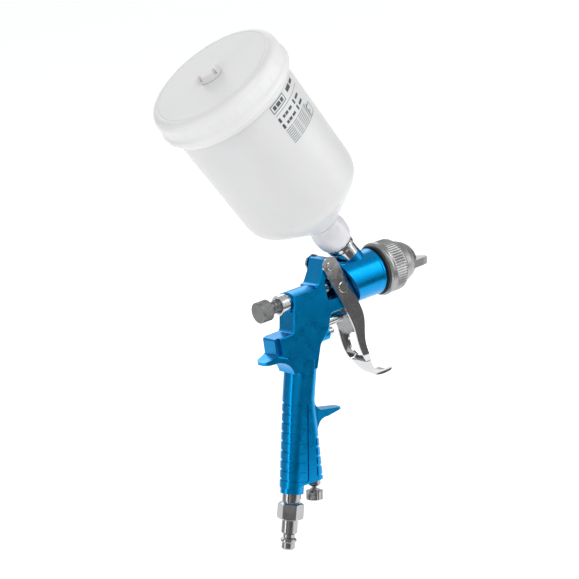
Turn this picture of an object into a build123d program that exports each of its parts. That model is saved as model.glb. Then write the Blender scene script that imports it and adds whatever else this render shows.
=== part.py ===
from build123d import *
import os
from math import cos, radians, sin, tan

# Gravity-feed spray gun, millimetres. The origin is the middle of the grip, on the axis of the
# air inlet. +X is the spray direction, +Z is up and +Y is the left-hand side of the gun.

needle_height = 90.0        # needle axis above the origin
pivot_reach = 46.7          # trigger pivot, ahead of the origin
pivot_rise = 18.2           # trigger pivot above the needle axis
handle_rake = 17.0          # the grip leans back from the vertical
cup_tilt = 29.6             # the cup leans back from the vertical
cup_foot = 34.4             # where the cup axis meets the needle axis, ahead of the pivot

body_half = 9.2             # half the thickness of the forged body
grip_half = 9.4             # half the thickness of the grip
block_half = 7.0            # half the thickness of the block above the rear hook
slip = 0.05                 # radial clearance of a running fit

head_radius = 17.3
head_front = 45.2
gasket_radius = 18.5
ring_radius = 19.5
ring_front = 64.0
boss_radius = 9.6
boss_top = 21.8             # along the cup axis, from the needle axis

trigger_outer = 11.1        # outer faces of the trigger arms
trigger_plate = 1.5
yoke_reach = 7.9            # pull bar, ahead of the pivot
valve_drop = 23.8           # air valve axis below the needle axis
plug_drop = 31.6            # passage plug axis below the needle axis
regulator_rake = 10.0       # the air regulator leans back less than the handle
cap_turn = 10.0             # the air cap's horns stand this far off level

inlet_end = 48.8            # foot of the inlet boss, along the handle axis from the origin
needle_radius = 1.25

rake = radians(handle_rake)
tilt = radians(cup_tilt)
pivot_foot = (pivot_reach, 0, needle_height)
cup_base = (pivot_reach + cup_foot, 0, needle_height)
regulator_foot = (6.4, 0, -47.0)

# Local drawing planes: side (x forward, y up), handle (x forward, y down along the handle axis)
# and cup (x forward, y up along the cup axis). Each one is at the gun's middle plane.
side = Plane(origin=pivot_foot, x_dir=(1, 0, 0), z_dir=(0, -1, 0))
handle = Plane(origin=(0, 0, 0), x_dir=(cos(rake), 0, -sin(rake)), z_dir=(0, 1, 0))
cup_side = Plane(origin=cup_base, x_dir=(cos(tilt), 0, sin(tilt)), z_dir=(0, -1, 0))
needle_line = Axis(pivot_foot, (1, 0, 0))
handle_line = Axis((0, 0, 0), (-sin(rake), 0, -cos(rake)))
cup_line = Axis(cup_base, (-sin(tilt), 0, cos(tilt)))


def across(reach, drop=0.0):
    """Plane square to the needle axis, looking along the spray, `reach` ahead of the pivot."""
    return Plane(origin=(pivot_reach + reach, 0, needle_height - drop), x_dir=(0, 1, 0), z_dir=(1, 0, 0))


def down_handle(distance, forward=0.0):
    """Plane square to the handle axis, facing down it."""
    centre = (forward * cos(rake) - distance * sin(rake), 0, -forward * sin(rake) - distance * cos(rake))
    return Plane(origin=centre, x_dir=(cos(rake), 0, -sin(rake)), z_dir=(-sin(rake), 0, -cos(rake)))


def up_cup(distance):
    """Plane square to the cup axis, facing up it."""
    centre = (cup_base[0] - distance * sin(tilt), 0, cup_base[2] + distance * cos(tilt))
    return Plane(origin=centre, x_dir=(cos(tilt), 0, sin(tilt)), z_dir=(-sin(tilt), 0, cos(tilt)))


def along_control(distance):
    """Plane square to the air regulator's axis, facing down it, from the foot of its bush."""
    lean = radians(regulator_rake)
    centre = (regulator_foot[0] - distance * sin(lean), 0, regulator_foot[2] - distance * cos(lean))
    return Plane(origin=centre, x_dir=(cos(lean), 0, -sin(lean)), z_dir=(-sin(lean), 0, -cos(lean)))


def turned(plane, line, points):
    """Solid of revolution about `line` from a closed outline drawn on `plane`."""
    with BuildPart() as piece:
        with BuildSketch(plane):
            with BuildLine():
                Polyline(*points, close=True)
            make_face()
        revolve(axis=line)
    return piece.part


def save(part, name):
    part.label = name
    export_step(part, f"parts/{name}.step")


os.makedirs("parts", exist_ok=True)

# ---------------------------------------------------------------- forged body

web_front = 24.0            # the web runs into the head as far as this
strip_top = 7.1             # top of the rear boss
step_top = -20.4
block_rear = -56.6

with BuildPart() as upper_body:
    with BuildSketch(side):
        with BuildLine():
            FilletPolyline(
                (-3.4, 23.9), (4.8, 22.6), (12.0, 15.6), (web_front, 14.0), (web_front, -14.0), (10.0, -16.3),
                (-4.4, -16.3), (-6.8, -20.0), (-10.2, -28.0), (-18.6, -35.6), (-25.2, -52.0), (-42.0, -52.0),
                (-50.0, -37.0), (-57.2, -33.4), (block_rear, step_top), (-40.4, step_top), (-34.2, strip_top),
                (-12.6, strip_top), (-7.4, 15.0),
                radius=[1.8, 3, 2, 0.5, 0.5, 2, 1.5, 2, 4, 6, 0.5, 0.5, 0.5, 0.5, 1.5, 2.5, 1.5, 3.5, 8],
                close=True)
        make_face()
    extrude(amount=body_half, both=True)
    fillet(upper_body.faces().filter_by(Axis.Y).edges(), radius=1.0)
    # the rear boss is crowned over the needle
    with BuildSketch(across(-44.0)):
        with BuildLine():
            ThreePointArc((-10.0, 4.6), (0, strip_top), (10.0, 4.6))
            Polyline((10.0, 4.6), (10.0, 9.0), (-10.0, 9.0), (-10.0, 4.6))
        make_face()
    extrude(amount=29.0, mode=Mode.SUBTRACT)

hook_tip = -67.2
with BuildPart() as rear_hook:
    with BuildSketch(side):
        with BuildLine():
            Polyline((-43.0, -30.0), (-55.5, -30.0), (-57.6, -32.6))
            ThreePointArc((-57.6, -32.6), (-62.4, -34.0), (hook_tip, -35.0))
            Polyline((hook_tip, -35.0), (hook_tip, -37.3), (-60.0, -37.7))
            ThreePointArc((-60.0, -37.7), (-50.6, -40.6), (-46.2, -49.5))
            Polyline((-46.2, -49.5), (-43.0, -49.5), (-43.0, -30.0))
        make_face()
    extrude(amount=grip_half, both=True)
    with BuildSketch(Plane.XY.offset(needle_height - 60)):
        with BuildLine():
            mouth = pivot_reach + hook_tip
            FilletPolyline((mouth, -6.6), (mouth + 30, -10.6), (mouth + 30, 10.6), (mouth, 6.6),
                           radius=[5.4, 0.5, 0.5, 5.4], close=True)
        make_face()
    extrude(amount=60, mode=Mode.INTERSECT)

spur_tip = -7.0
spur_half = 6.6
with BuildPart() as front_spur:
    with BuildSketch(side):
        with BuildLine():
            Polyline((-34.0, -74.0), (-31.6, -75.0))
            ThreePointArc((-31.6, -75.0), (-29.6, -81.0), (-24.0, -84.0))
            Polyline((-24.0, -84.0), (spur_tip, -87.8), (spur_tip, -89.0), (-22.0, -90.0))
            ThreePointArc((-22.0, -90.0), (-29.6, -91.4), (-32.8, -96.0))
            Polyline((-32.8, -96.0), (-36.0, -96.0), (-34.0, -74.0))
        make_face()
    extrude(amount=spur_half, both=True)
    with BuildSketch(Plane.XY.offset(needle_height - 110)):
        with BuildLine():
            peak = pivot_reach + spur_tip
            FilletPolyline((peak, -4.6), (peak - 24, -spur_half), (peak - 40, -spur_half), (peak - 40, spur_half),
                           (peak - 24, spur_half), (peak, 4.6), radius=[3.6, 8, 0.5, 0.5, 8, 3.6], close=True)
        make_face()
    extrude(amount=60, mode=Mode.INTERSECT)


def grip_section(distance, rear, front, inset=0.0):
    """Rounded section of the grip: `rear` and `front` are measured from the handle axis."""
    rear, front, half = rear + inset, front - inset, grip_half - inset
    with BuildSketch(down_handle(distance)) as section:
        with BuildLine():
            FilletPolyline((rear, -half), (front, -half), (front, half), (rear, half),
                           radius=[7.6 - inset, 7.2 - inset, 7.2 - inset, 7.6 - inset], close=True)
        make_face()
    return section.sketch


with BuildPart() as grip:
    loft([grip_section(-50.0, -11.2, 11.6), grip_section(-20.0, -11.0, 11.6), grip_section(46.0, -8.3, 26.0)],
         ruled=True)
    heel = Plane(origin=handle.from_local_coords((22.6, 37.6, 0)), x_dir=(0, 1, 0), z_dir=(-0.062, 0, -1))
    split(bisect_by=heel, keep=Keep.BOTTOM)

groove_pitch = 6.9
groove_width = 2.0
groove_depth = 0.7
groove_first = -17.4
border_width = 1.3
panel_foot = groove_first + 8 * groove_pitch + groove_width
with BuildPart() as grip_grooves:
    # bars across the back, framed by a border groove
    with BuildSketch(handle):
        for step in range(9):
            start = groove_first + step * groove_pitch
            edge = 1.4 + (start + 22.0) * 0.083
            with BuildLine():
                Polyline((-16, start), (edge, start), (edge + 0.17, start + groove_width), (-16, start + groove_width),
                         close=True)
            make_face()
        with BuildLine():
            Polyline((1.4, groove_first), (1.4 + border_width, groove_first + 1.0), (6.6 + border_width, panel_foot - 1.0),
                     (6.0, panel_foot), close=True)
        make_face()
        # the short panel at the front of the heel
        for step in range(5):
            start = 6.4 + step * groove_pitch
            edge = 11.4 + (start - 6.4) * 0.16
            with BuildLine():
                Polyline((34, start), (edge, start), (edge + 0.3, start + groove_width), (34, start + groove_width),
                         close=True)
            make_face()
        with BuildLine():
            Polyline((11.4, 6.4), (16.0 - border_width, 35.0), (16.0, 35.8), (11.4 + border_width, 6.4), close=True)
        make_face()
    extrude(amount=12, both=True)
    loft([grip_section(-20.0, -11.0, 11.6, groove_depth), grip_section(46.0, -8.3, 26.0, groove_depth)],
         ruled=True, mode=Mode.SUBTRACT)

with BuildPart() as head:
    with BuildSketch(side):
        with BuildLine():
            Polyline((0, 0), (0, head_radius), (41.0, head_radius))
            ThreePointArc((41.0, head_radius), (44.0, 16.9), (head_front, 15.6))
            Polyline((head_front, 15.6), (head_front, 0), (0, 0))
        make_face()
    revolve(axis=needle_line)
    rear_cut = Plane(origin=(pivot_reach + 21.4, 0, needle_height - 16.5), x_dir=(0, 1, 0), z_dir=(0.937, 0, 0.349))
    split(bisect_by=rear_cut, keep=Keep.TOP)

spigot_radius = 14.0        # threaded collar that carries the air cap ring
spigot_front = 54.0
annulus_inner = 8.6
annulus_outer = 12.0
nozzle_thread = 6.0
packing_radius = 4.5
window_front = 14.5
connector_flange = 10.5
bush_seat = -4.7            # spot face under the air regulator's bush
sleeve_seat = -36.9         # spot face under the adjuster sleeve
sleeve_thread = 5.6
spring_bore = 4.6

with BuildPart() as gun_body:
    add(upper_body.part)
    add(rear_hook.part)
    add(front_spur.part)
    add(grip.part)
    add(head.part)
    # inlet boss and cup port boss
    with BuildSketch(down_handle(20.0)):
        Circle(8.5)
    extrude(amount=inlet_end - 20.0)
    with BuildSketch(across(-20.0, plug_drop)):
        Circle(5.3)
    extrude(amount=13.6)
    with BuildSketch(across(-16.0, valve_drop)):
        Circle(6.2)
    extrude(amount=9.6)
    with BuildSketch(up_cup(4.0)):
        Circle(boss_radius)
    extrude(amount=boss_top - 4.0)
    with BuildSketch(across(head_front - 1)):
        Circle(spigot_radius)
    extrude(amount=spigot_front - head_front + 1)
    # the block above the hook is thinner than the body
    with BuildSketch(side):
        with Locations((-58.0, -24.6)):
            Rectangle(9.6, 15.6)
    extrude(amount=body_half + 2, both=True, mode=Mode.SUBTRACT)
    with BuildSketch(side):
        with BuildLine():
            FilletPolyline((-57.2, -33.2), (block_rear, step_top), (-50.0, step_top), (-50.0, -33.2),
                           radius=[0.5, 1.5, 0.3, 0.3], close=True)
        make_face()
    extrude(amount=block_half, both=True)
    # window behind the head, where the pull bar meets the needle
    with BuildSketch(side):
        with BuildLine():
            FilletPolyline((-6.3, -6.6), (window_front, -6.6), (window_front, 9.4), (-6.3, 9.4),
                           radius=1.6, close=True)
        make_face()
    extrude(amount=body_half + 1, both=True, mode=Mode.SUBTRACT)
    # needle axis: nozzle seat, paint chamber and packing bore
    with BuildSketch(across(28.0)):
        Circle(nozzle_thread)
    extrude(amount=40, mode=Mode.SUBTRACT)
    with BuildSketch(across(20.0)):
        Circle(3.4)
    extrude(amount=10, mode=Mode.SUBTRACT)
    with BuildSketch(across(window_front - 1)):
        Circle(packing_radius)
    extrude(amount=6.6, mode=Mode.SUBTRACT)
    with BuildSketch(across(18.0)):
        Circle(needle_radius + 0.3)
    extrude(amount=3, mode=Mode.SUBTRACT)
    # ring of air round the nozzle, and the hollow of the collar
    with BuildSketch(across(37.0)):
        Circle(annulus_outer)
        Circle(annulus_inner, mode=Mode.SUBTRACT)
    extrude(amount=head_front - 37.0, mode=Mode.SUBTRACT)
    with BuildSketch(across(head_front)):
        Circle(annulus_outer)
    extrude(amount=20, mode=Mode.SUBTRACT)
    # paint port under the cup
    with BuildSketch(up_cup(0.0)):
        Circle(3.2)
    extrude(amount=40, mode=Mode.SUBTRACT)
    with BuildSketch(up_cup(11.0)):
        Circle(6.5)
    extrude(amount=20, mode=Mode.SUBTRACT)
    with BuildSketch(up_cup(boss_top)):
        Circle(connector_flange + 0.4)
    extrude(amount=20, mode=Mode.SUBTRACT)
    # needle spring housing and the rear thread of the adjuster sleeve
    with BuildSketch(across(-60.0)):
        Circle(sleeve_thread)
    extrude(amount=36, mode=Mode.SUBTRACT)
    with BuildSketch(across(-60.0)):
        Circle(7.6)
    extrude(amount=60 + sleeve_seat, mode=Mode.SUBTRACT)
    with BuildSketch(across(-30.0)):
        Circle(spring_bore)
    extrude(amount=19, mode=Mode.SUBTRACT)
    with BuildSketch(across(-13.0)):
        Circle(needle_radius + 0.15)
    extrude(amount=8, mode=Mode.SUBTRACT)
    # air valve bore, the two drillings that feed the head and the passage plug's drilling
    with BuildSketch(across(-46.0, valve_drop)):
        Circle(3.1)
    extrude(amount=12, mode=Mode.SUBTRACT)
    with BuildSketch(across(-36.0, valve_drop)):
        Circle(3.9)
    extrude(amount=40, mode=Mode.SUBTRACT)
    with BuildSketch(Plane(origin=(pivot_reach - 16.0, 0, needle_height - valve_drop), z_dir=(0, 0, 1))):
        Circle(2.4)
    extrude(amount=12.2, mode=Mode.SUBTRACT)
    with BuildSketch(across(-18.0, 11.6)):
        Circle(2.2)
    extrude(amount=56.0, mode=Mode.SUBTRACT)
    with BuildSketch(across(-20.0, plug_drop)):
        Circle(2.6)
    extrude(amount=30, mode=Mode.SUBTRACT)
    # air passage up the handle, inlet thread and the regulator's bore
    with BuildSketch(down_handle(-68.0)):
        Circle(3.2)
    extrude(amount=130, mode=Mode.SUBTRACT)
    with BuildSketch(down_handle(34.0)):
        Circle(5.6)
    extrude(amount=40, mode=Mode.SUBTRACT)
    with BuildSketch(along_control(-14.0)):
        Circle(3.2)
    extrude(amount=20, mode=Mode.SUBTRACT)
    with BuildSketch(along_control(bush_seat)):
        Circle(5.3)
    extrude(amount=10, mode=Mode.SUBTRACT)
    # trigger pivot
    with BuildSketch(Plane.XZ.offset(-20)):
        with Locations((pivot_reach, needle_height + pivot_rise)):
            Circle(2.05)
    extrude(amount=40, mode=Mode.SUBTRACT)
    # shallow grooves wrap the back of the grip
    add(grip_grooves.part, mode=Mode.SUBTRACT)
save(gun_body.part, "gun_body")
print("body solids", len(gun_body.part.solids()), "volume", round(gun_body.part.volume))

# ---------------------------------------------------------------- spray head

gasket_front = 46.9
with BuildPart() as head_gasket:
    with BuildSketch(across(head_front)):
        Circle(gasket_radius)
        Circle(spigot_radius, mode=Mode.SUBTRACT)
    extrude(amount=gasket_front - head_front)
save(head_gasket.part, "head_gasket")

nozzle_tip = 80.0
fluid_nozzle = turned(side, needle_line, [
    (28.6, 2.2), (28.6, nozzle_thread - slip), (head_front + 0.3, nozzle_thread - slip), (head_front + 0.3, 7.9),
    (52.0, 7.9), (56.0, 5.2), (72.0, 3.4), (nozzle_tip, 1.7), (nozzle_tip, 0.8), (77.0, 0.8), (71.0, 2.2)])
save(fluid_nozzle, "fluid_nozzle")

with BuildPart() as air_baffle:
    with BuildSketch(across(head_front + 0.4)):
        Circle(annulus_outer - 0.05)
        Circle(8.0, mode=Mode.SUBTRACT)
        with PolarLocations(10.0, 10):
            Circle(0.9, mode=Mode.SUBTRACT)
    extrude(amount=3.0)
save(air_baffle.part, "air_baffle")

horn_tip = 86.0
cap_front = 81.4
cap_collar = 16.2           # the air cap where it leaves the ring
outlet_radius = 2.3
horn_frame = Plane(origin=pivot_foot, x_dir=(1, 0, 0), z_dir=(0, -sin(radians(cap_turn)), cos(radians(cap_turn))))
with BuildPart() as air_cap_horns:
    with BuildSketch(horn_frame.offset(-3.0)):
        for hand in (1, -1):
            with BuildLine():
                Polyline((64, hand * 4.0), (64, hand * 14.0), (horn_tip - 4, hand * 13.6), (horn_tip, hand * 13.0),
                         (horn_tip, hand * 11.4), (78.0, hand * 4.0), (64, hand * 4.0))
            make_face()
    extrude(amount=6.0)
    fillet(air_cap_horns.edges().filter_by(GeomType.LINE).group_by(Axis.X)[-1], radius=0.6)

hollow = [(50.0, 0), (50.0, 13.8), (56.0, 13.8), (66.0, 13.2), (73.0, 10.4), (77.6, 6.2), (79.2, outlet_radius),
          (90.0, outlet_radius), (90.0, 0)]
with BuildPart() as air_cap:
    add(turned(side, needle_line, [
        (54.6, 0), (54.6, 16.8), (57.0, 16.8), (57.0, cap_collar), (65.4, cap_collar), (69.6, 15.2), (73.8, 13.4),
        (77.4, 10.9), (80.0, 8.0), (cap_front, 5.2), (cap_front, 0)]))
    add(air_cap_horns.part)
    add(turned(side, needle_line, hollow), mode=Mode.SUBTRACT)
    # two angled air holes in each horn's inner slope
    for hand in (1, -1):
        for reach in (79.8, 82.4):
            slope = horn_frame.from_local_coords(Vector(reach, hand * (4.0 + 0.925 * (reach - 78.0)), 0))
            with BuildSketch(Plane(origin=slope, z_dir=horn_frame.from_local_coords(Vector(0.68, -0.73 * hand, 0))
                                   - horn_frame.origin)):
                Circle(0.55)
            extrude(amount=-2.6, mode=Mode.SUBTRACT)
save(air_cap.part, "air_cap")

air_cap_ring = turned(side, needle_line, [
    (47.0, spigot_radius + slip), (47.0, 18.6), (48.2, 20.0), (50.0, 20.0), (50.6, 19.0), (51.4, ring_radius),
    (60.0, ring_radius), (62.2, 19.2), (ring_front, 17.8), (ring_front, cap_collar + slip),
    (57.1, cap_collar + slip), (57.1, 16.9), (54.3, 16.9), (54.3, spigot_radius + slip)])
save(air_cap_ring, "air_cap_ring")

# ---------------------------------------------------------------- needle and its controls

needle_tail = -33.0
fluid_needle = turned(side, needle_line, [
    (needle_tail, 0), (needle_tail, needle_radius), (73.0, needle_radius), (nozzle_tip - 0.4, 0.25),
    (nozzle_tip - 0.4, 0)])
save(fluid_needle, "fluid_needle")

needle_packing = turned(side, needle_line, [
    (15.6, needle_radius + slip), (15.6, packing_radius), (19.9, packing_radius), (19.9, needle_radius + slip)])
save(needle_packing, "needle_packing")

with BuildPart() as packing_nut:
    with BuildSketch(across(12.2)):
        RegularPolygon(radius=4.6, side_count=6, major_radius=False)
    extrude(amount=window_front - 12.2)
    with BuildSketch(across(window_front)):
        Circle(packing_radius)
    extrude(amount=1.1)
    with BuildSketch(across(12.0)):
        Circle(needle_radius + slip)
    extrude(amount=4, mode=Mode.SUBTRACT)
save(packing_nut.part, "packing_nut")

yoke_half = 3.3             # radius of the pull bar where the needle passes
collar_front = yoke_reach - yoke_half - 0.1
needle_collar = turned(side, needle_line, [
    (collar_front - 3.6, needle_radius), (collar_front - 3.6, 2.9), (collar_front, 2.9), (collar_front, needle_radius)])
save(needle_collar, "needle_collar")

seat_front = -17.2
spring_seat = turned(side, needle_line, [
    (seat_front, needle_radius), (seat_front, 3.2), (seat_front - 1.6, 3.2), (seat_front - 1.6, needle_radius)])
save(spring_seat, "spring_seat")

spring_rear = -36.0
with BuildPart() as needle_spring:
    turns = 9
    length = seat_front - 1.6 - spring_rear - 1.0
    coil = Helix(pitch=length / turns, height=length, radius=2.6, center=(pivot_reach + spring_rear + 0.5, 0, needle_height),
                 direction=(1, 0, 0))
    with BuildSketch(Plane(origin=coil @ 0, z_dir=coil % 0)):
        Circle(0.4)
    sweep(path=coil)
save(needle_spring.part, "needle_spring")

sleeve_rear = -44.0
stem_radius = 4.5
with BuildPart() as adjuster_sleeve:
    add(turned(side, needle_line, [
        (sleeve_rear, 5.9), (sleeve_rear, 7.0), (sleeve_rear + 0.5, 7.4), (sleeve_seat - 0.6, 7.4), (sleeve_seat, 6.9),
        (sleeve_seat, sleeve_thread),
        (-26.0, sleeve_thread), (-26.0, stem_radius + slip), (sleeve_rear + 1.6, stem_radius + slip)]))
save(adjuster_sleeve.part, "adjuster_sleeve")

knob_rear = -61.8
fluid_knob = turned(side, needle_line, [
    (knob_rear, 0), (knob_rear, 7.2), (knob_rear + 0.5, 7.75), (-60.2, 7.75), (-59.9, 7.35), (-59.5, 7.75), (-52.8, 7.75),
    (-52.0, 7.0), (-50.8, stem_radius), (-28.0, stem_radius), (-28.0, 3.5), (spring_rear, 3.5), (spring_rear, 1.8),
    (-40.0, 1.8), (-40.0, 0)])
save(fluid_knob, "fluid_knob")

# ---------------------------------------------------------------- trigger

web_inner = 1.6             # thickness of the trigger's front plate
with BuildPart() as trigger:
    with BuildSketch(side):
        with BuildLine():
            ThreePointArc((-6.0, 15.7), (-1.4, 24.5), (6.3, 20.0))
            Spline((6.3, 20.0), (12.1, 4.8), (17.6, -10.0), (20.0, -17.6), (21.6, -26.6), (20.4, -35.6), (19.2, -44.0),
                   (20.6, -55.0), (24.4, -65.0), (30.0, -71.2), (36.4, -73.0), (41.8, -72.4))
            ThreePointArc((41.8, -72.4), (43.9, -74.4), (41.8, -76.0))
            Spline((41.8, -76.0), (35.8, -76.4), (29.0, -75.2), (23.0, -70.8), (18.6, -62.6), (14.4, -53.0), (12.4, -42.0),
                   (11.2, -31.6), (8.4, -22.0), (3.1, -7.4), (-6.0, 15.7))
        make_face()
    extrude(amount=trigger_outer, both=True)
    # seen from the front the trigger is a stirrup that narrows into the finger tab
    with BuildSketch(across(-30.0)):
        with BuildLine():
            top, waist = 26.0, -52.0
            Polyline((trigger_outer, waist), (trigger_outer, top), (-trigger_outer, top), (-trigger_outer, waist))
            Spline((-trigger_outer, waist), (-8.6, -62.4), (-5.0, -69.6), (-4.6, -80.0))
            Line((-4.6, -80.0), (4.6, -80.0))
            Spline((4.6, -80.0), (5.0, -69.6), (8.6, -62.4), (trigger_outer, waist))
        make_face()
    extrude(amount=90, mode=Mode.INTERSECT)
    trigger_inner = trigger_outer - trigger_plate
    # the arms are open to the front down to the cross web
    with BuildSketch(across(-30.0)):
        with Locations((0, 5.5)):
            Rectangle(2 * trigger_inner, 43.0)
    extrude(amount=90, mode=Mode.SUBTRACT)
    # channel behind the cross web
    with BuildSketch(side):
        with BuildLine():
            Spline((18.4, -16.0), (20.0, -26.6), (18.8, -35.6), (17.6, -44.0), (18.8, -54.0), (21.4, -61.0))
            Polyline((21.4, -61.0), (0.0, -61.0), (-6.0, -16.0), (18.4, -16.0))
        make_face()
    extrude(amount=trigger_inner, both=True, mode=Mode.SUBTRACT)
    # slot through the front plate, rounded at both ends
    with BuildSketch(across(5.0)):
        with Locations((0, -48.4)):
            SlotOverall(18.4, 15.6, rotation=90)
    extrude(amount=40, mode=Mode.SUBTRACT)
    with BuildSketch(Plane.XZ.offset(-20)):
        with Locations((pivot_reach, needle_height + pivot_rise)):
            Circle(2.0 + slip)
        with Locations((pivot_reach + yoke_reach, needle_height)):
            Circle(4.3)
    extrude(amount=40, mode=Mode.SUBTRACT)
save(trigger.part, "trigger")

pin_head = trigger_outer + 0.8
with BuildPart() as trigger_pivot_pin:
    with BuildSketch(Plane(origin=(pivot_reach, -pin_head, needle_height + pivot_rise), z_dir=(0, 1, 0))):
        Circle(3.6)
    extrude(amount=0.75)
    with BuildSketch(Plane(origin=(pivot_reach, -pin_head, needle_height + pivot_rise), z_dir=(0, 1, 0))):
        Circle(2.0)
    extrude(amount=2 * trigger_outer + 2.4)
    chamfer(trigger_pivot_pin.edges().group_by(Axis.Y)[0], length=0.3)
    # groove for the retaining clip
    with BuildSketch(Plane(origin=(pivot_reach, trigger_outer + 0.2, needle_height + pivot_rise), z_dir=(0, 1, 0))):
        Circle(3.0)
        Circle(1.5, mode=Mode.SUBTRACT)
    extrude(amount=0.6, mode=Mode.SUBTRACT)
save(trigger_pivot_pin.part, "trigger_pivot_pin")

with BuildPart() as pivot_clip:
    with BuildSketch(Plane(origin=(pivot_reach, trigger_outer + 0.25, needle_height + pivot_rise), x_dir=(1, 0, 0),
                           z_dir=(0, 1, 0))):
        Circle(4.0)
        Circle(1.5, mode=Mode.SUBTRACT)
        with Locations((0, 3.2)):
            Rectangle(2.6, 6.4, mode=Mode.SUBTRACT)
        with PolarLocations(2.6, 2, start_angle=-20, angular_range=220):
            Circle(0.7, mode=Mode.SUBTRACT)
    extrude(amount=0.5)
save(pivot_clip.part, "pivot_clip")

bar_centre = (pivot_reach + yoke_reach, 0, needle_height)
with BuildPart() as pull_bar:
    with BuildSketch(Plane(origin=bar_centre, x_dir=(1, 0, 0), z_dir=(0, -1, 0))):
        Circle(yoke_half)
    extrude(amount=trigger_outer, both=True)
    for hand in (1, -1):
        face = Plane(origin=(bar_centre[0], hand * (trigger_inner + 0.1), bar_centre[2]), z_dir=(0, hand, 0))
        with BuildSketch(face):
            Circle(4.3 - slip)
        extrude(amount=trigger_plate + 0.5)
    with BuildSketch(across(yoke_reach - 6)):
        with Locations((0, 1.08)):
            SlotOverall(5.1, 2 * needle_radius + 0.4, rotation=90)
    extrude(amount=12, mode=Mode.SUBTRACT)
    chamfer(pull_bar.edges().group_by(Axis.Y)[0] + pull_bar.edges().group_by(Axis.Y)[-1], length=0.3)
save(pull_bar.part, "pull_bar")

# ---------------------------------------------------------------- air valve

valve_line = Axis((pivot_reach, 0, needle_height - valve_drop), (1, 0, 0))
valve_side = Plane(origin=(pivot_reach, 0, needle_height - valve_drop), x_dir=(1, 0, 0), z_dir=(0, -1, 0))
valve_front = 9.2
valve_seat = -20.0
stem_tip = 19.4
stem_half = 1.55
with BuildPart() as air_valve_body:
    add(turned(valve_side, valve_line, [
        (valve_seat, 2.2), (valve_seat, 3.85), (-6.35, 3.85), (-6.35, 4.3), (-4.6, 4.3), (-4.4, 3.85), (8.4, 3.85),
        (valve_front, 3.1),
        (valve_front, stem_half + slip), (-11.0, stem_half + slip), (-11.0, 2.9), (-19.2, 2.9), (-19.2, 2.2)]))
    with BuildSketch(Plane(origin=(pivot_reach - 15.8, 0, needle_height - valve_drop - 6), z_dir=(0, 0, 1))):
        Circle(1.8)
    extrude(amount=12, mode=Mode.SUBTRACT)
save(air_valve_body.part, "air_valve_body")

air_valve_stem = turned(valve_side, valve_line, [
    (-24.4, 0), (-24.4, 1.2), (-22.4, 1.2), (-22.4, 3.4), (-20.8, 3.4), (-20.8, stem_half), (stem_tip - 0.8, stem_half),
    (stem_tip, 0.9), (stem_tip, 0)])
save(air_valve_stem, "air_valve_stem")

valve_seal = turned(valve_side, valve_line, [
    (-20.8, stem_half), (-20.8, 3.3), (valve_seat - 0.05, 3.3), (valve_seat - 0.05, stem_half)])
save(valve_seal, "air_valve_seal")

with BuildPart() as air_valve_spring:
    turns = 9
    length = 19.4
    coil = Helix(pitch=length / turns, height=length, radius=2.6, direction=(1, 0, 0),
                 center=(pivot_reach - 44.2, 0, needle_height - valve_drop))
    with BuildSketch(Plane(origin=coil @ 0, z_dir=coil % 0)):
        Circle(0.4)
    sweep(path=coil)
save(air_valve_spring.part, "air_valve_spring")

plug_line = Axis((pivot_reach, 0, needle_height - plug_drop), (1, 0, 0))
plug_side = Plane(origin=(pivot_reach, 0, needle_height - plug_drop), x_dir=(1, 0, 0), z_dir=(0, -1, 0))
passage_plug = turned(plug_side, plug_line, [
    (-14.0, 0), (-14.0, 2.55), (-6.4, 2.55), (-6.4, 3.4), (-2.2, 3.4), (-1.0, 2.6), (-1.0, 1.5), (-3.0, 1.5), (-3.0, 0)])
save(passage_plug, "passage_plug")

# ---------------------------------------------------------------- air inlet

inlet_stub = 6.8
with BuildPart() as inlet_nipple:
    with BuildSketch(down_handle(36.0)):
        Circle(5.6)
    extrude(amount=inlet_end - 36.0)
    with BuildSketch(down_handle(inlet_end)):
        Circle(inlet_stub)
    extrude(amount=5.6)
    with BuildSketch(down_handle(inlet_end + 5.6)):
        Circle(5.6)
    extrude(amount=7.0)
    with BuildSketch(down_handle(30.0)):
        Circle(3.4)
    extrude(amount=60, mode=Mode.SUBTRACT)
save(inlet_nipple.part, "inlet_nipple")

hex_top = 55.6
hex_foot = 68.2
plug_end = 90.0
with BuildPart() as coupler_plug:
    add(turned(handle, handle_line, [
        (0, hex_top), (7.4, hex_top), (9.7, hex_top + 1.4), (9.7, hex_foot - 1.4), (7.4, hex_foot), (6.0, hex_foot + 0.2),
        (6.0, 77.6), (4.4, 79.0), (4.4, 81.2), (6.0, 82.6), (6.0, 84.0), (5.0, 85.0), (5.0, 89.0), (4.2, plug_end),
        (0, plug_end)]))
    with BuildSketch(down_handle(hex_top - 1)):
        RegularPolygon(radius=8.5, side_count=6, major_radius=False, rotation=42)
    extrude(amount=60, mode=Mode.INTERSECT)
    with BuildSketch(down_handle(hex_top - 1)):
        Circle(5.6)
    extrude(amount=8.2, mode=Mode.SUBTRACT)
    with BuildSketch(down_handle(hex_top)):
        Circle(3.0)
    extrude(amount=60, mode=Mode.SUBTRACT)
save(coupler_plug.part, "coupler_plug")


with BuildPart() as air_control_bush:
    with BuildSketch(along_control(-13.6)):
        Circle(3.15)
    extrude(amount=13.6 + bush_seat)
    with BuildSketch(along_control(bush_seat)):
        Circle(4.8)
    extrude(amount=0.9 - bush_seat)
    chamfer(air_control_bush.faces().sort_by(handle_line)[-1].edges(), length=0.8)
    with BuildSketch(along_control(-20.0)):
        Circle(2.2 + slip)
    extrude(amount=30, mode=Mode.SUBTRACT)
save(air_control_bush.part, "air_control_bush")

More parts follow.
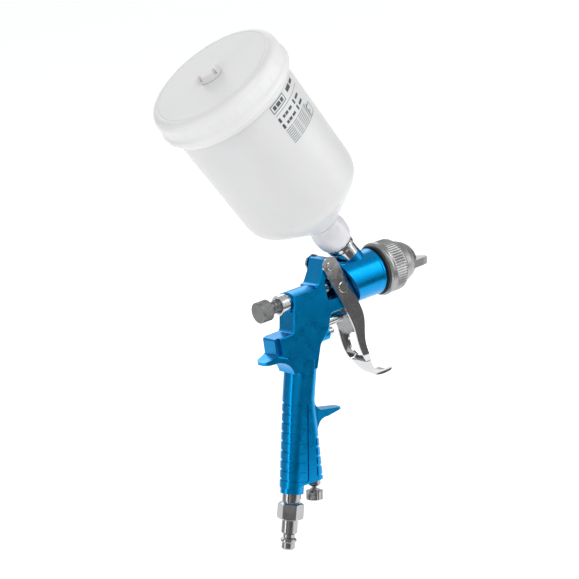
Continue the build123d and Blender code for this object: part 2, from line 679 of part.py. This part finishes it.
with BuildPart() as air_control_knob:
    with BuildSketch(along_control(5.2)):
        Circle(6.4)
        with PolarLocations(7.2, 14):
            Circle(1.1, mode=Mode.SUBTRACT)
    extrude(amount=6.0)
    with BuildSketch(along_control(3.8)):
        Circle(3.4)
    extrude(amount=2.0)
    with BuildSketch(along_control(-12.0)):
        Circle(2.2)
    extrude(amount=18.0)
save(air_control_knob.part, "air_control_knob")

# ---------------------------------------------------------------- cup

cup_connector = turned(cup_side, cup_line, [
    (4.0, 11.6), (6.45, 11.6), (6.45, boss_top), (9.5, boss_top), (9.5, 28.4), (8.6, 29.2), (connector_flange, 30.2),
    (connector_flange, 32.4), (7.0, 32.4), (7.0, 50.0), (4.0, 50.0)])
save(cup_connector, "cup_connector")

cup_wall = 2.0
neck_foot = 32.6
cup_foot_rise = 54.6        # underside of the bowl, along the cup axis
cup_rim = 194.2
cup_neck = turned(cup_side, cup_line, [
    (7.05, neck_foot), (9.8, neck_foot), (12.2, 36.0), (13.4, 41.0), (13.6, 47.0), (12.6, 51.4), (12.6, cup_foot_rise),
    (7.05, cup_foot_rise)])
save(cup_neck, "cup_neck")

with BuildPart() as cup:
    with BuildSketch(cup_side):
        with BuildLine():
            Polyline((5.0, cup_foot_rise), (12.6, cup_foot_rise), (13.6, 55.4), (37.6, 75.0))
            ThreePointArc((37.6, 75.0), (43.1, 81.2), (45.1, 89.6))
            Polyline((45.1, 89.6), (46.3, 174.0), (46.9, 175.0), (46.9, cup_rim), (44.6, cup_rim), (44.6, 175.0),
                     (43.1, 90.0))
            ThreePointArc((43.1, 90.0), (41.3, 82.5), (36.3, 76.6))
            Polyline((36.3, 76.6), (12.4, 57.2), (9.0, 57.0), (5.0, 57.0), (5.0, cup_foot_rise))
        make_face()
    revolve(axis=cup_line)
save(cup.part, "cup")

cup_filter = turned(cup_side, cup_line, [
    (3.6, 50.4), (4.6, 50.4), (4.9, 57.05), (7.0, 57.05), (7.0, 58.0), (5.6, 58.0), (4.6, 76.0), (0, 76.0), (0, 75.0),
    (3.8, 75.0)])
save(cup_filter, "cup_filter")

lid_top = 198.4
lid_ceiling = 195.8
with BuildPart() as cup_lid:
    with BuildSketch(cup_side):
        with BuildLine():
            Polyline((2.2, lid_top), (46.2, lid_top))
            ThreePointArc((46.2, lid_top), (49.1, 197.0), (50.6, 193.6))
            Polyline((50.6, 193.6), (51.2, 184.6), (51.9, 183.2), (51.9, 180.0), (51.0, 179.0), (49.4, 178.6),
                     (48.9, 175.4), (47.1, 175.4), (47.1, lid_ceiling), (2.2, lid_ceiling), (2.2, lid_top))
        make_face()
    revolve(axis=cup_line)
save(cup_lid.part, "cup_lid")

with BuildPart() as lid_gasket:
    with BuildSketch(up_cup(cup_rim + 0.05)):
        Circle(46.6)
        Circle(42.6, mode=Mode.SUBTRACT)
    extrude(amount=lid_ceiling - cup_rim - 0.1)
save(lid_gasket.part, "lid_gasket")

vent_top = lid_top + 6.4
with BuildPart() as drip_cap:
    add(turned(cup_side, cup_line, [
        (0, lid_top - 1.4), (2.1, lid_top - 1.4), (2.1, lid_top + 0.05), (8.2, lid_top + 0.05), (8.6, lid_top + 1.0), (8.2, vent_top - 0.8),
        (7.4, vent_top), (0, vent_top)]))
    with BuildSketch(up_cup(lid_top + 2.2)):
        with PolarLocations(8.6, 4):
            Rectangle(3.4, 2.6, mode=Mode.ADD)
    extrude(amount=10, mode=Mode.SUBTRACT)
save(drip_cap.part, "drip_cap")
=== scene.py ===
from math import cos, pi, radians, sin

import bmesh
import bpy
import numpy as np
from mathutils import Matrix, Vector


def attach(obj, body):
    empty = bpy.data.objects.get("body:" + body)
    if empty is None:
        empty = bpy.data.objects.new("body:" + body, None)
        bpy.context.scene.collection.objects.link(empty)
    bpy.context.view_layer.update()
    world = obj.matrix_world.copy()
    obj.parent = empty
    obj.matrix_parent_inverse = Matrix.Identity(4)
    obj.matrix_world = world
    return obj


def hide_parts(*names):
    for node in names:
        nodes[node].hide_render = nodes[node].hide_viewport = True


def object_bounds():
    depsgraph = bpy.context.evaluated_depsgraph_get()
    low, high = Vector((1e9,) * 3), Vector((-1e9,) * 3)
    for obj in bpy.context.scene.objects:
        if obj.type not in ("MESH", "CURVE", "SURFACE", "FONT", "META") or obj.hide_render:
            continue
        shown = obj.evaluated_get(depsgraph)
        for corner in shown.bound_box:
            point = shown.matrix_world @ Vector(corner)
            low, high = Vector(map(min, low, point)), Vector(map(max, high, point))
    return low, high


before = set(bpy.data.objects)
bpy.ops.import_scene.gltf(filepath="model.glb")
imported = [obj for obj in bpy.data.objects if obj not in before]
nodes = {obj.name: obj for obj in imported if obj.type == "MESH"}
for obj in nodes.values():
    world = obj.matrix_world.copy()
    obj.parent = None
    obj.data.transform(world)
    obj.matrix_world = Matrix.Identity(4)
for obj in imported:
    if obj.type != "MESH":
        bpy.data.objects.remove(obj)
cadLow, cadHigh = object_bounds()
print("frame loaded:", len(nodes), "nodes")

# axes of the gun, metres: the needle runs along +X, and the cup leans back
needleAxis = {"foot": (0.0467, 0, 0.090), "along": (1, 0, 0), "across": (0, 1, 0)}
cupTilt = radians(29.6)
cupAxis = {"foot": (0.0811, 0, 0.090), "along": (-sin(cupTilt), 0, cos(cupTilt)),
           "across": (cos(cupTilt), 0, sin(cupTilt))}
mm = 0.001


# shader maths

class Wire:
    # one output of a node; arithmetic on it adds Math nodes to the same finish
    def __init__(self, finish, socket):
        self.finish, self.socket = finish, socket

    def maths(self, operation, *terms):
        return self.finish.node("Math", {"operation": operation}, dict(enumerate(terms)))

    def __add__(self, other): return self.maths("ADD", self, other)
    def __radd__(self, other): return self.maths("ADD", other, self)
    def __mul__(self, other): return self.maths("MULTIPLY", self, other)
    def __rmul__(self, other): return self.maths("MULTIPLY", other, self)


class Finish:
    # a material built node by node
    def __init__(self, name):
        self.material = bpy.data.materials.new(name)
        self.material.use_nodes = True
        self.tree = self.material.node_tree
        self.tree.nodes.clear()
        self.place = self.node("TexCoord", output="Object")

    def node(self, kind, settings=None, inputs=None, output=0):
        made = self.tree.nodes.new("ShaderNode" + kind)
        for key, value in (settings or {}).items():
            setattr(made, key, value)
        for key, value in (inputs or {}).items():
            if isinstance(value, Wire):
                self.tree.links.new(value.socket, made.inputs[key])
            else:
                made.inputs[key].default_value = value
        return Wire(self, made.outputs[output])

    def stretched(self, scale):
        return self.node("Mapping", None, {"Vector": self.place, "Scale": scale})

    def cloud(self, scale, detail=3.0, where=None):
        return self.node("TexNoise", {"noise_dimensions": "3D"},
                         {"Vector": where or self.place, "Scale": scale, "Detail": detail, "Roughness": 0.55})

    def spread(self, wire, low, high):
        # carries the noise's middle range over to low..high
        return self.node("MapRange", {"clamp": True}, {"Value": wire, "From Min": 0.3, "From Max": 0.7,
                                                       "To Min": low, "To Max": high})

    def blendColour(self, factor, first, second):
        return self.node("Mix", {"data_type": "RGBA"}, {0: factor, 6: first, 7: second}, output=2)

    def bump(self, height, distance, strength=1.0, under=None):
        inputs = {"Height": height, "Distance": distance, "Strength": strength}
        if under is not None:
            inputs["Normal"] = under
        return self.node("Bump", None, inputs)

    def shade(self, **inputs):
        names = {"colour": "Base Color", "roughness": "Roughness", "metallic": "Metallic", "coat": "Coat Weight",
                 "coatRoughness": "Coat Roughness", "normal": "Normal", "specular": "Specular IOR Level",
                 "scatter": "Subsurface Weight", "scatterDepth": "Subsurface Scale", "glow": "Emission Color",
                 "glowStrength": "Emission Strength"}
        shader = self.node("BsdfPrincipled", None, {names[key]: value for key, value in inputs.items()})
        end = self.tree.nodes.new("ShaderNodeOutputMaterial")
        self.tree.links.new(shader.socket, end.inputs["Surface"])
        return self.material


def rgb(red, green, blue):
    return (red, green, blue, 1)


def grey(shade, blueLift=1.0):
    return (shade, shade, shade * blueLift, 1)


# finishes

paint = {"deep": rgb(0.0, 0.235, 0.57), "bright": rgb(0.0, 0.285, 0.63), "roughness": (0.25, 0.34),
         "driftScale": 38, "grainScale": 2600, "hazeScale": 160, "peelScale": 420, "peelDepth": 0.00003}


def bluePaint():
    # metallic blue lacquer: slow drift and fine flakes in the colour, a faint orange peel in the surface
    finish = Finish("bluePaint")
    drift = finish.cloud(paint["driftScale"], 2)
    fleck = finish.cloud(paint["grainScale"], 1)
    colour = finish.blendColour(finish.spread(drift * 0.7 + fleck * 0.3, 0, 1), paint["deep"], paint["bright"])
    roughness = finish.spread(finish.cloud(paint["hazeScale"], 4), *paint["roughness"])
    peel = finish.bump(finish.cloud(paint["peelScale"], 2), paint["peelDepth"], 0.3)
    return finish.shade(colour=colour, roughness=roughness, metallic=1.0, coat=0.05, coatRoughness=0.1, normal=peel)


def polishedChrome(name, tone, roughness):
    # plated steel: soft waves left by the polishing wheel, a haze of fine scratches
    finish = Finish(name)
    haze = finish.cloud(1.0, 3, finish.stretched((260, 1500, 260)))
    colour = finish.blendColour(finish.spread(finish.cloud(55, 2), 0, 1), grey(tone, 1.01), grey(tone * 1.16, 1.01))
    wave = finish.bump(finish.cloud(90, 1), 0.0002, 0.35)
    scratch = finish.bump(haze, 0.00001, 0.4, wave)
    return finish.shade(colour=colour, roughness=finish.spread(haze, *roughness), metallic=1.0, normal=scratch)


def turnedMetal(name, tone, roughness, streak=2600):
    # lathe marks: noise squeezed along the needle axis, which the pieces were turned on
    finish = Finish(name)
    marks = finish.cloud(1.0, 3, finish.stretched((streak, 60, 60)))
    spots = finish.cloud(700, 3)
    mixed = finish.spread(marks * 0.5 + spots * 0.5, 0, 1)
    colour = finish.blendColour(mixed, grey(tone * 0.9, 1.01), grey(tone * 1.1))
    return finish.shade(colour=colour, roughness=finish.spread(marks, *roughness), metallic=1.0,
                        normal=finish.bump(marks, 0.00001, 0.6))


def satinMetal(name, tone, roughness):
    # bead-blasted zinc: a fine even pitting
    finish = Finish(name)
    pits = finish.cloud(1500, 4)
    patches = finish.cloud(120, 3)
    mixed = finish.spread(patches * 0.6 + pits * 0.4, 0, 1)
    colour = finish.blendColour(mixed, grey(tone * 0.84, 1.01), grey(tone * 1.1))
    return finish.shade(colour=colour, roughness=finish.spread(pits, *roughness), metallic=0.9,
                        normal=finish.bump(pits, 0.00002, 0.7))


def mouldedPlastic(name, shade, warmth, roughness, grain, scatter=0.25, gloss=0.4):
    # cloudy moulded polythene: slow patches of density and a faint moulded grain
    finish = Finish(name)
    density = finish.cloud(26, 3)
    skin = finish.cloud(grain, 3)
    low, high = (rgb(*(shade * level * part for part in warmth)) for level in (0.965, 1.0))
    colour = finish.blendColour(finish.spread(density, 0, 1), low, high)
    return finish.shade(colour=colour, roughness=finish.spread(skin, *roughness), specular=gloss, scatter=scatter,
                        scatterDepth=0.004, normal=finish.bump(skin, 0.00003, 0.35))


def plainRubber(shade=0.018):
    finish = Finish("blackRubber")
    grain = finish.cloud(1800, 3)
    colour = finish.blendColour(finish.spread(grain, 0, 1), grey(shade * 0.8), grey(shade * 1.5, 1.03))
    return finish.shade(colour=colour, roughness=finish.spread(grain, 0.45, 0.65),
                        normal=finish.bump(grain, 0.00003, 0.5))


def inkPrint():
    finish = Finish("printInk")
    worn = finish.cloud(900, 3)
    colour = finish.blendColour(finish.spread(worn, 0, 1), rgb(0.025, 0.025, 0.03), rgb(0.09, 0.09, 0.10))
    return finish.shade(colour=colour, roughness=finish.spread(worn, 0.4, 0.6))


def meshPlastic():
    # the filter's gauze, which has rings and ribs round the cup axis: here a fine even noise weave in its colour and
    # surface
    finish = Finish("filterMesh")
    weave = finish.cloud(2400, 2)
    colour = finish.blendColour(finish.spread(weave, 0, 1), rgb(0.5, 0.52, 0.55), rgb(0.8, 0.8, 0.82))
    return finish.shade(colour=colour, roughness=0.5, normal=finish.bump(weave, 0.0001, 0.8))


finishes = {
    "paint": bluePaint(),
    "chrome": polishedChrome("polishedChrome", 0.54, (0.07, 0.16)),
    "darkChrome": polishedChrome("plugChrome", 0.36, (0.10, 0.22)),
    "satin": satinMetal("satinZinc", 0.22, (0.34, 0.46)),
    "capMetal": turnedMetal("turnedCap", 0.34, (0.26, 0.40)),
    "bright": turnedMetal("turnedSteel", 0.58, (0.14, 0.26)),
    "wire": turnedMetal("drawnWire", 0.32, (0.25, 0.4), 900),
    "brass": turnedMetal("turnedBrass", 0.4, (0.2, 0.34)),
    "rubber": plainRubber(),
    "cup": mouldedPlastic("cupPlastic", 0.61, (1.0, 1.0, 1.0), (0.32, 0.42), 900),
    "lid": mouldedPlastic("lidPlastic", 0.68, (1.0, 1.0, 1.0), (0.34, 0.46), 1100, 0.15),
    "neck": mouldedPlastic("neckPlastic", 0.64, (1.0, 0.995, 1.03), (0.18, 0.28), 700, 0.15, 0.6),
    "filter": meshPlastic(),
    "ink": inkPrint(),
}
nodeFinish = {
    "paint": ["gun_body"],
    "chrome": ["trigger", "trigger_pivot_pin", "pull_bar", "air_valve_body", "cup_connector", "passage_plug"],
    "darkChrome": ["coupler_plug", "inlet_nipple", "air_control_bush", "air_control_knob"],
    "satin": ["fluid_knob"],
    "capMetal": ["air_cap", "air_cap_ring"],
    "bright": ["adjuster_sleeve", "fluid_nozzle", "fluid_needle", "air_valve_stem", "spring_seat"],
    "wire": ["needle_spring", "air_valve_spring", "pivot_clip"],
    "brass": ["air_baffle", "packing_nut", "needle_collar"],
    "rubber": ["head_gasket", "needle_packing", "air_valve_seal", "lid_gasket"],
    "cup": ["cup"],
    "lid": ["cup_lid", "drip_cap"],
    "neck": ["cup_neck"],
    "filter": ["cup_filter"],
}
for finishName, members in nodeFinish.items():
    for member in members:
        mesh = nodes[member].data
        mesh.materials.clear()
        mesh.materials.append(finishes[finishName])
bare = sorted(set(nodes) - {member for members in nodeFinish.values() for member in members})
print("finishes on CAD nodes:", len(nodes) - len(bare), "without:", bare)


# surfaces

def meshPiece(name, points, faces, body, finishName, sharp=32.0, replaced=()):
    mesh = bpy.data.meshes.new(name)
    mesh.from_pydata(points, [], faces)
    shell = bmesh.new()
    shell.from_mesh(mesh)
    bmesh.ops.remove_doubles(shell, verts=shell.verts, dist=1e-6)
    bmesh.ops.delete(shell, geom=[corner for corner in shell.verts if not corner.link_faces], context="VERTS")
    bmesh.ops.recalc_face_normals(shell, faces=shell.faces)
    shell.to_mesh(mesh)
    shell.free()
    mesh.shade_smooth()
    mesh.set_sharp_from_angle(angle=radians(sharp))
    mesh.materials.append(finishes[finishName])
    piece = bpy.data.objects.new(name, mesh)
    bpy.context.scene.collection.objects.link(piece)
    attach(piece, body)
    if replaced:
        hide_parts(*replaced)
    return piece


def gridFaces(rows, columns, closeRows=True):
    # quads of a grid whose columns wrap round, and whose rows wrap too for a closed outline
    row = np.arange(rows if closeRows else rows - 1)[:, None]
    column = np.arange(columns)[None, :]
    nextRow, nextColumn = (row + 1) % rows, (column + 1) % columns
    quads = np.stack([row * columns + column, row * columns + nextColumn, nextRow * columns + nextColumn,
                      nextRow * columns + column], axis=-1)
    return quads.reshape(-1, 4).tolist()


def turned(axis, outline, steps, ripple=None):
    # point(s, t) = foot + along * reach(s) + radius(s, t) * (across * cos t + third * sin t);
    # the outline is (reach, radius) in mm, and ripple(reach, radius, t) may change the radius
    outline = np.array(outline, float)
    reach, radius = outline[:, 0][:, None], outline[:, 1][:, None]
    angle = np.linspace(0, 2 * pi, steps, endpoint=False)[None, :]
    full = radius + 0 * angle if ripple is None else ripple(reach, radius, angle)
    along, across = np.array(axis["along"], float), np.array(axis["across"], float)
    third = np.cross(along, across)
    outward = np.cos(angle)[..., None] * across + np.sin(angle)[..., None] * third
    points = np.array(axis["foot"], float) + mm * (reach[..., None] * along + full[..., None] * outward)
    return points.reshape(-1, 3).tolist(), gridFaces(len(outline), steps)


def filled(outline, step):
    # the same closed outline with points added so that no run is longer than step, in mm
    outline = np.array(outline, float)
    runs = [np.linspace(a, b, max(1, int(np.ceil(np.hypot(*(b - a)) / step))), endpoint=False)
            for a, b in zip(outline, np.roll(outline, -1, axis=0))]
    return np.vstack(runs)


def rounded(outline, radius, count=4):
    # corners of a closed outline eased: each corner gives way to count points of a quadratic curve
    outline = np.array(outline, float)
    made = []
    for before, corner, after in zip(np.roll(outline, 1, axis=0), outline, np.roll(outline, -1, axis=0)):
        ends = []
        for neighbour in (before, after):
            run = np.hypot(*(neighbour - corner))
            ends.append((neighbour - corner) / run * min(radius, 0.45 * run))
        if corner[1] < 0.01 or min(np.hypot(*end) for end in ends) < 0.02:
            made.append(corner[None])
            continue
        start, end = (corner + part for part in ends)
        t = np.linspace(0, 1, count)[:, None]
        made.append((1 - t) ** 2 * start + 2 * t * (1 - t) * corner + t ** 2 * end)
    return np.vstack(made)


# air cap ring

ring = {"teeth": 64, "depth": 0.42, "from": 51.9, "to": 61.6, "steps": 512}


def ringRipple(reach, radius, angle):
    # straight knurl: round-topped teeth whose depth fades out at both ends of the grip band
    band = np.clip((reach - ring["from"]) / 0.7, 0, 1) * np.clip((ring["to"] - reach) / 0.7, 0, 1) * (radius > 18)
    tooth = 0.5 - 0.5 * np.cos(ring["teeth"] * angle)
    return radius - ring["depth"] * band * tooth ** 0.6


ringOutline = rounded([(47.0, 14.05), (47.0, 18.6), (48.2, 20.0), (50.0, 20.0), (50.6, 19.0), (51.4, 19.5),
                       (60.0, 19.5), (62.2, 19.2), (64.0, 17.8), (64.0, 16.3), (57.12, 16.3), (57.12, 16.9),
                       (54.3, 16.9), (54.3, 14.05)], 0.35)
ringPoints, ringFaces = turned(needleAxis, filled(ringOutline, 0.9), ring["steps"], ringRipple)
meshPiece("knurledRing", ringPoints, ringFaces, "air_cap_ring", "capMetal", 40, ["air_cap_ring"])
print("air cap ring done")

# fluid knob

knob = {"teeth": 46, "depth": 0.3, "helix": 1.6, "threadPitch": 1.0, "threadDepth": 0.45, "steps": 320}


def knobRipple(reach, radius, angle):
    # crossed knurl on the grip band, and a screw thread on the stem
    band = np.clip((reach + 59.2) / 0.5, 0, 1) * np.clip((-53.0 - reach) / 0.5, 0, 1) * (radius > 7)
    turn = (reach + 59) * knob["helix"]
    crossed = np.abs(np.sin(knob["teeth"] / 2 * angle + turn) * np.sin(knob["teeth"] / 2 * angle - turn))
    stem = (reach > -50.6) * (reach < -30) * (radius > 4.2)
    screw = np.abs(((reach / knob["threadPitch"] - angle / (2 * pi)) % 1) - 0.5) * 2
    return radius - knob["depth"] * band * (1 - crossed) - knob["threadDepth"] * stem * screw


knobOutline = rounded([(-61.8, 0.0), (-61.8, 7.2), (-61.3, 7.75), (-60.2, 7.75), (-59.9, 7.35), (-59.5, 7.75),
                       (-52.8, 7.75), (-52.0, 7.0), (-50.8, 4.5), (-28.0, 4.5), (-28.0, 3.5), (-36.0, 3.5),
                       (-36.0, 1.8), (-40.0, 1.8), (-40.0, 0.0)], 0.18, 3)
knobPoints, knobFaces = turned(needleAxis, filled(knobOutline, 0.3), knob["steps"], knobRipple)
meshPiece("fluidKnob", knobPoints, knobFaces, "fluid_knob", "satin", 40, ["fluid_knob"])
print("fluid knob done")

# cup, neck and lid

cup = {"steps": 192, "rim": 194.2, "wallFoot": (89.6, 45.1), "wallTop": (174.0, 46.3)}
cupOutline = rounded([(54.6, 5.0), (54.6, 12.6), (55.4, 13.6), (75.0, 37.6), (77.9, 40.7), (81.2, 43.1), (85.2, 44.5),
                      cup["wallFoot"], cup["wallTop"], (175.0, 46.9), (cup["rim"], 46.9), (cup["rim"], 44.6),
                      (175.0, 44.6), (90.0, 43.1), (86.0, 42.5), (82.5, 41.3), (79.2, 39.1), (76.6, 36.3),
                      (57.2, 12.4), (57.0, 9.0), (57.0, 5.0)], 1.4)
cupPoints, cupFaces = turned(cupAxis, filled(cupOutline, 8.0), cup["steps"])
meshPiece("paintCup", cupPoints, cupFaces, "cup", "cup", 50, ["cup"])

neck = {"lugs": 12, "lugDepth": 0.5, "steps": 192}


def neckRipple(reach, radius, angle):
    # the collar under the neck is notched for the fingers
    notch = (reach < 35.2) * (radius > 8) * (np.cos(neck["lugs"] * angle) > 0.55)
    return radius - neck["lugDepth"] * notch


neckOutline = rounded([(32.6, 7.05), (32.6, 9.8), (34.0, 10.9), (36.0, 12.2), (38.4, 13.0), (41.0, 13.4),
                       (44.0, 13.7), (47.0, 13.6), (49.6, 13.1), (51.4, 12.6), (54.6, 12.6), (54.6, 7.05)], 0.8)
neckPoints, neckFaces = turned(cupAxis, filled(neckOutline, 1.6), neck["steps"], neckRipple)
meshPiece("cupNeck", neckPoints, neckFaces, "cup", "neck", 35, ["cup_neck"])

lid = {"steps": 256, "grips": 28, "gripHeight": 0.35}


def lidRipple(reach, radius, angle):
    # low upright bars round the skirt, for turning the lid
    band = np.clip((reach - 184.5) / 1.0, 0, 1) * np.clip((192.6 - reach) / 2.0, 0, 1) * (radius > 49.8)
    bar = np.clip(np.cos(lid["grips"] * angle) * 4 - 3, 0, 1)
    return radius - lid["gripHeight"] * band * (1 - bar)


lidOutline = rounded([(198.4, 2.2), (198.4, 43.6), (198.15, 44.0), (198.15, 44.9), (198.4, 45.3), (198.4, 46.2),
                      (197.9, 47.9), (197.0, 49.1), (195.6, 50.0), (193.6, 50.6), (184.6, 51.2), (183.2, 51.9),
                      (180.0, 51.9), (179.0, 51.0), (178.6, 49.4), (175.4, 48.9), (175.4, 47.1), (195.8, 47.1),
                      (195.8, 2.2)], 0.5)
lidPoints, lidFaces = turned(cupAxis, filled(lidOutline, 1.5), lid["steps"], lidRipple)
meshPiece("cupLid", lidPoints, lidFaces, "cup_lid", "lid", 50, ["cup_lid"])
print("cup, neck and lid done")


# printed marks on the cup

label = {"left": -92.5, "right": -48.0, "depth": -0.05, "rise": 0.06, "step": 1.5, "perMillimetre": 1.25,
         "textLine": 0.45, "textTop": 150.6, "textPitch": 1.55, "textGap": 1.4}


def printedMarks(patches):
    # each patch is (angle range, height range) on the cup's wall, carried round it:
    # point = foot + along * height + (wall(height) + lift) * (across * cos a + third * sin a)
    along, across = np.array(cupAxis["along"]), np.array(cupAxis["across"])
    third = np.cross(along, across)
    heights, radii = zip(cup["wallFoot"], cup["wallTop"])
    slope = (radii[1] - radii[0]) / (heights[1] - heights[0])
    points, faces, base = [], [], 0
    for startAngle, endAngle, startHeight, endHeight in patches:
        count = max(2, int(abs(endAngle - startAngle) / label["step"]) + 1)
        angle = np.radians(np.linspace(startAngle, endAngle, count))
        height = np.array([startHeight, endHeight])
        outward = np.cos(angle)[None, :, None] * across + np.sin(angle)[None, :, None] * third
        for lift in (label["depth"], label["rise"]):
            wall = radii[0] + (height[:, None] - heights[0]) * slope + lift
            grid = np.array(cupAxis["foot"]) + mm * (height[:, None, None] * along + wall[..., None] * outward)
            points.append(grid.reshape(-1, 3))
        # the patch is a thin block: number[lift, row, column]
        number = base + np.arange(4 * count).reshape(2, 2, count)
        base += 4 * count
        for column in range(count - 1):
            columns = (column, column + 1, column + 1, column)
            faces += [number[lift, (0, 0, 1, 1), columns].tolist() for lift in (0, 1)]
            faces += [number[(0, 0, 1, 1), row, columns].tolist() for row in (0, 1)]
        faces += [number[(0, 0, 1, 1), (0, 1, 1, 0), edge].tolist() for edge in (0, count - 1)]
    return np.vstack(points).tolist(), faces


def frameMark(startAngle, endAngle, startHeight, endHeight, line):
    # four strokes round a box; line is the stroke's width in mm
    turn = line * label["perMillimetre"]
    return [(startAngle, endAngle, startHeight, startHeight + line),
            (startAngle, endAngle, endHeight - line, endHeight),
            (startAngle, startAngle + turn, startHeight + line, endHeight - line),
            (endAngle - turn, endAngle, startHeight + line, endHeight - line)]


marks = frameMark(label["left"], -73.0, 166.4, 172.6, 0.55)
# plain blocks in the box and beside it, and a rule below them
marks += [(-90.0, -86.6, 168.0, 171.0), (-85.4, -80.4, 168.0, 171.0), (-79.2, -75.6, 168.0, 171.0)]
marks += [(-67.0, -59.0, 168.2, 171.4), (-57.0, -50.0, 168.6, 171.0)]
marks += [(label["left"], label["right"], 164.2, 164.5)]
# two rows of blocks, as (angle range, half height)
rowBlocks = [(label["left"], -90.0, 1.8), (-86.8, -84.0, 1.1), (-83.2, -79.4, 1.1), (-77.8, -73.0, 1.0),
             (-68.6, -66.2, 1.8), (-63.4, -56.0, 1.0)]
for height in (160.0, 154.6):
    marks += [(start, end, height - half, height + half) for start, end, half in rowBlocks]
# fine print stands as broken lines
for row in range(8):
    height = label["textTop"] - row * label["textPitch"]
    gap = label["textGap"]
    edges = label["left"] + np.cumsum([0, 9, gap, 6, gap, 11, gap, 5 + row % 3 * 2.2])
    marks += [(edges[k], edges[k + 1], height, height + label["textLine"]) for k in (0, 2, 4, 6)]
marks += frameMark(-58.0, label["right"], 139.6, 147.4, 0.4)
markPoints, markFaces = printedMarks(marks)
meshPiece("cupMarks", markPoints, markFaces, "cup", "ink", 60)
print("printed marks done:", len(marks))

# floor, light and camera

stage = {"floorDrop": 0.05, "floorSize": 60.0, "floorGlow": 0.42, "roomGlow": 0.6}
floorMesh = bpy.data.meshes.new("floor")
half, level = stage["floorSize"] / 2, cadLow.z - stage["floorDrop"]
floorCorners = [(-half, -half, level), (half, -half, level), (half, half, level), (-half, half, level)]
floorMesh.from_pydata(floorCorners, [], [(0, 1, 2, 3)])
floor = bpy.data.objects.new("floor", floorMesh)
bpy.context.scene.collection.objects.link(floor)
floorFinish = Finish("paleFloor")
floorMesh.materials.append(floorFinish.shade(
    colour=floorFinish.blendColour(floorFinish.cloud(3, 2), grey(0.92), grey(0.94)), roughness=0.9,
    glow=grey(1), glowStrength=stage["floorGlow"]))

camera = {"place": (-0.87445, -1.30144, 0.51849), "right": (0.78636, -0.59328, -0.17223),
          "up": (0.29007, 0.10844, 0.95084), "back": (-0.54544, -0.79766, 0.25736), "lens": 142.33, "sensor": 36.0}
lens = bpy.data.cameras.new("camera")
lens.lens, lens.sensor_width, lens.clip_start, lens.clip_end = camera["lens"], camera["sensor"], 0.05, 100
eye = bpy.data.objects.new("camera", lens)
turn = Matrix((camera["right"], camera["up"], camera["back"])).transposed()
eye.matrix_world = Matrix.Translation(camera["place"]) @ turn.to_4x4()
bpy.context.scene.collection.objects.link(eye)
bpy.context.scene.camera = eye


def softbox(name, place, aim, size, power):
    light = bpy.data.lights.new(name, "AREA")
    light.shape, light.size, light.size_y, light.energy = "RECTANGLE", size[0], size[1], power
    lamp = bpy.data.objects.new(name, light)
    lamp.location = place
    lamp.rotation_euler = (Vector(aim) - Vector(place)).to_track_quat("-Z", "Y").to_euler()
    bpy.context.scene.collection.objects.link(lamp)


middle = (0.02, 0, 0.09)
softbox("key", (-0.3, -1.0, 1.5), middle, (0.8, 0.8), 10)
softbox("fill", (1.1, -0.9, 0.5), middle, (0.6, 1.2), 6)
softbox("side", (-1.4, 0.1, 0.3), middle, (0.3, 1.3), 3)
softbox("rim", (0.6, 1.2, 0.9), middle, (1.2, 0.8), 5)


def reflector(name, place, aim, size, glow):
    # a grey or black board that only mirror-like surfaces see, for the darks in the metal
    halfWide, halfHigh = size[0] / 2, size[1] / 2
    corners = [(-halfWide, -halfHigh, 0), (halfWide, -halfHigh, 0), (halfWide, halfHigh, 0), (-halfWide, halfHigh, 0)]
    mesh = bpy.data.meshes.new(name)
    mesh.from_pydata(corners, [], [(0, 1, 2, 3)])
    board = bpy.data.objects.new(name, mesh)
    sheen = Finish(name + "Grey")
    mesh.materials.append(sheen.shade(colour=grey(0.02), roughness=0.9, glow=grey(1), glowStrength=glow))
    board.location = place
    board.rotation_euler = (Vector(aim) - Vector(place)).to_track_quat("-Z", "Y").to_euler()
    bpy.context.scene.collection.objects.link(board)
    board.visible_camera = board.visible_diffuse = board.visible_shadow = board.visible_transmission = False


reflector("sideBoard", (0.42, -0.52, -0.01), (0.05, 0, 0.06), (0.42, 0.24), 0.72)
reflector("rearBoard", (-0.62, 0.75, -0.08), middle, (0.5, 0.5), 0.28)
reflector("leftBoard", (-1.0, -0.25, 0.1), middle, (0.35, 0.5), 0.05)
reflector("rightBoard", (1.2, 0.2, 0.1), middle, (0.5, 0.5), 0.05)
reflector("lowBoard", (0.0, -0.3, -0.11), (0.0, 0, 0.3), (1.4, 0.3), 0.10)
reflector("topBoard", (0.3, 0.5, 1.0), middle, (0.9, 0.25), 0.05)

world = bpy.data.worlds.new("studio")
bpy.context.scene.world = world
world.use_nodes = True
tree = world.node_tree
tree.nodes.clear()
seen, lit = tree.nodes.new("ShaderNodeBackground"), tree.nodes.new("ShaderNodeBackground")
seen.inputs["Color"].default_value, seen.inputs["Strength"].default_value = grey(1), 1.0
lit.inputs["Color"].default_value, lit.inputs["Strength"].default_value = rgb(0.985, 0.995, 1.0), stage["roomGlow"]
path, mix, out = (tree.nodes.new("ShaderNode" + kind) for kind in ("LightPath", "MixShader", "OutputWorld"))
tree.links.new(path.outputs["Is Camera Ray"], mix.inputs[0])
tree.links.new(lit.outputs[0], mix.inputs[1])
tree.links.new(seen.outputs[0], mix.inputs[2])
tree.links.new(mix.outputs[0], out.inputs["Surface"])
bpy.context.scene.view_settings.view_transform = "Standard"
print("stage, light and camera done")
